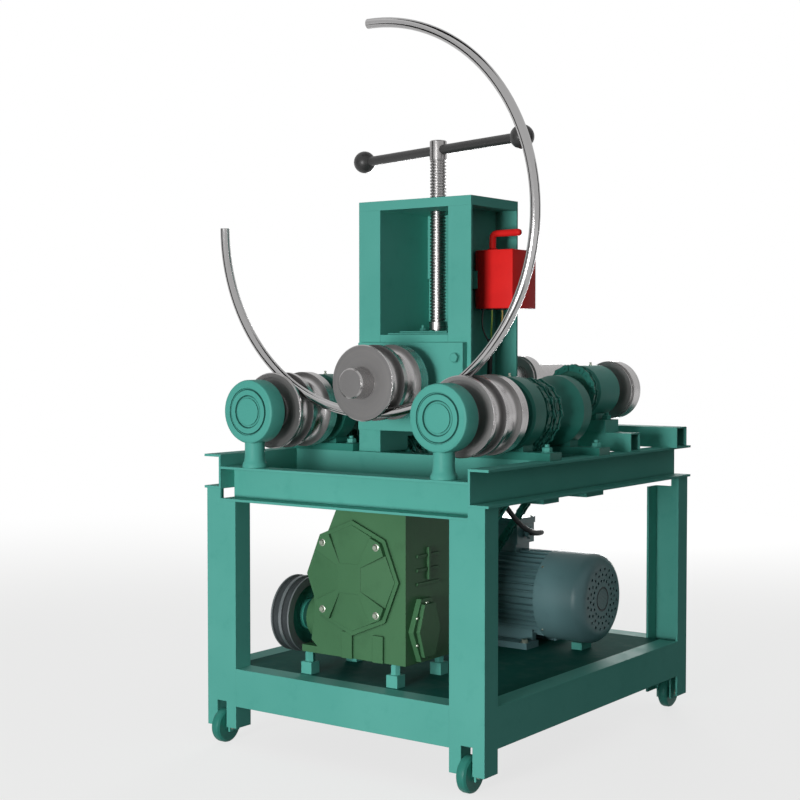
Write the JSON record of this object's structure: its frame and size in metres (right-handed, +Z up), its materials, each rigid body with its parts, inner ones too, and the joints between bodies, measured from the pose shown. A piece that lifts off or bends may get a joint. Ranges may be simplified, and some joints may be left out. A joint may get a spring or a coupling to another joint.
{
  "type": "three-roll tube bender",
  "caption": "Electric three-roll tube and pipe bender on a wheeled channel frame, with a screw-fed upper roll, chain-driven grooved rolls, worm gearbox and motor.",
  "frame": {"origin": "centre of the frame's footprint on the floor", "axes": "+X to the operator's right, +Y to the back, +Z up"},
  "size_m": [0.8079, 0.91, 1.5014],
  "materials": {
    "frame_paint": "gloss enamel",
    "gearbox_paint": "semi gloss enamel",
    "motor_paint": "semi gloss enamel",
    "steel": "turned",
    "bright_tube": "polished",
    "dark_steel": "black oxide",
    "chain_steel": "painted over",
    "belt": "matte",
    "switch_red": "gloss",
    "cable": "matte"
  },
  "bodies": {
    "frame": {"bottom_rails": "frame_paint", "caster_forks": "frame_paint", "column_back_plate": "frame_paint", "column_header": "frame_paint", "cross_tubes": "frame_paint", "dome_bearings": "frame_paint", "drive_belts": "belt", "floor_plate": "frame_paint", "front_beam": "frame_paint", "front_chains": "chain_steel", "gearbox_blocks": "frame_paint", "gearbox_casing": "gearbox_paint", "gearbox_cover": "gearbox_paint", "hanger_bearing": "frame_paint", "leg_back_left": "frame_paint", "leg_back_right": "frame_paint", "leg_front_left": "frame_paint", "leg_front_right": "frame_paint", "mid_bearings": "frame_paint", "motor_cowl": "motor_paint", "motor_frame": "motor_paint", "pedestals": "frame_paint", "post_left": "frame_paint", "post_right": "frame_paint", "rear_bearings": "frame_paint", "rear_chains": "chain_steel", "second_beam": "frame_paint", "side_beams": "frame_paint", "switch_box": "switch_red", "table_bolts": "steel", "terminal_box": "motor_paint", "third_beam": "frame_paint", "wiring": "cable", "worm_end_cap": "gearbox_paint"},
    "slide": {"slide_block": "frame_paint", "slide_keepers": "frame_paint", "thrust_plates": "frame_paint", "slide_bolts": "steel"},
    "screw": {"lead_screw": "steel", "tommy_bar": "dark_steel"},
    "upper_roll": {"upper_shaft": "steel", "upper_roll_front": "steel", "upper_roll_rear": "steel"},
    "lower_roll_right": {"lower_shaft_right": "steel", "lower_roll_right": "steel"},
    "lower_roll_left": {"lower_shaft_left": "steel", "lower_roll_left": "steel"},
    "rear_roll_right": {"rear_shaft_right": "steel", "rear_roll_right": "steel"},
    "rear_roll_left": {"rear_shaft_left": "steel", "rear_roll_left": "steel"},
    "output": {"output_shaft": "steel"},
    "worm": {"worm_shaft": "steel"},
    "motor_rotor": {"motor_shaft": "steel"},
    "lever": {"switch_lever": "switch_red"},
    "tube": {"bent_tube": "bright_tube"},
    "caster_front_left": {"wheel_front_left": "frame_paint"},
    "caster_front_right": {"wheel_front_right": "frame_paint"},
    "caster_back_left": {"wheel_back_left": "frame_paint"},
    "caster_back_right": {"wheel_back_right": "frame_paint"}
  },
  "joints": [
    {"name": "screw_turn", "type": "hinge", "parent": "slide", "child": "screw", "pos_m": [0, -0.0765, 0], "axis": [0, 0, 1], "range_deg": [0, 7195]},
    {"name": "slide_lift", "type": "slide", "parent": "frame", "child": "slide", "axis": [0, 0, 1], "range_m": [0, 0.14]},
    {"name": "upper_spin", "type": "hinge", "parent": "slide", "child": "upper_roll", "pos_m": [0, 0, 0.76567], "axis": [0, 1, 0], "continuous": true},
    {"name": "worm_spin", "type": "hinge", "parent": "frame", "child": "worm", "pos_m": [0, -0.321, 0.275], "axis": [1, 0, 0], "continuous": true},
    {"name": "output_spin", "type": "hinge", "parent": "frame", "child": "output", "pos_m": [0, 0, 0.373], "axis": [0, 1, 0], "continuous": true},
    {"name": "lower_right_spin", "type": "hinge", "parent": "frame", "child": "lower_roll_right", "pos_m": [0.24, 0, 0.704], "axis": [0, 1, 0], "continuous": true},
    {"name": "lower_left_spin", "type": "hinge", "parent": "frame", "child": "lower_roll_left", "pos_m": [-0.24, 0, 0.704], "axis": [0, 1, 0], "continuous": true},
    {"name": "rear_right_spin", "type": "hinge", "parent": "frame", "child": "rear_roll_right", "pos_m": [0.24, 0, 0.742], "axis": [0, 1, 0], "continuous": true},
    {"name": "rear_left_spin", "type": "hinge", "parent": "frame", "child": "rear_roll_left", "pos_m": [-0.24, 0, 0.742], "axis": [0, 1, 0], "continuous": true},
    {"name": "motor_spin", "type": "hinge", "parent": "frame", "child": "motor_rotor", "pos_m": [0, 0.189, 0.278], "axis": [1, 0, 0], "continuous": true},
    {"name": "lever_turn", "type": "hinge", "parent": "frame", "child": "lever", "pos_m": [0.13, -0.061, 1], "axis": [0, 0, 1], "range_deg": [-60, 60]},
    {"name": "tube_travel", "type": "hinge", "parent": "frame", "child": "tube", "pos_m": [0, -0.326, 1.09737], "axis": [0, 1, 0], "range_deg": [-50, 140]},
    {"name": "caster_front_left_roll", "type": "hinge", "parent": "frame", "child": "caster_front_left", "pos_m": [-0.311, -0.419, 0.036], "axis": [1, 0, 0], "continuous": true},
    {"name": "caster_front_right_roll", "type": "hinge", "parent": "frame", "child": "caster_front_right", "pos_m": [0.311, -0.419, 0.036], "axis": [1, 0, 0], "continuous": true},
    {"name": "caster_back_left_roll", "type": "hinge", "parent": "frame", "child": "caster_back_left", "pos_m": [-0.311, 0.419, 0.036], "axis": [1, 0, 0], "continuous": true},
    {"name": "caster_back_right_roll", "type": "hinge", "parent": "frame", "child": "caster_back_right", "pos_m": [0.311, 0.419, 0.036], "axis": [1, 0, 0], "continuous": true}
  ],
  "couplings": [
    {"joint": "slide_lift", "follows": "screw_turn", "m_per_rad": 0.0011141},
    {"joint": "output_spin", "follows": "worm_spin", "ratio": 0.033333},
    {"joint": "lower_right_spin", "follows": "worm_spin", "ratio": 0.033333},
    {"joint": "lower_left_spin", "follows": "worm_spin", "ratio": 0.033333},
    {"joint": "rear_right_spin", "follows": "worm_spin", "ratio": 0.021569},
    {"joint": "rear_left_spin", "follows": "worm_spin", "ratio": 0.021569},
    {"joint": "motor_spin", "follows": "worm_spin", "ratio": 1.7843}
  ]
}
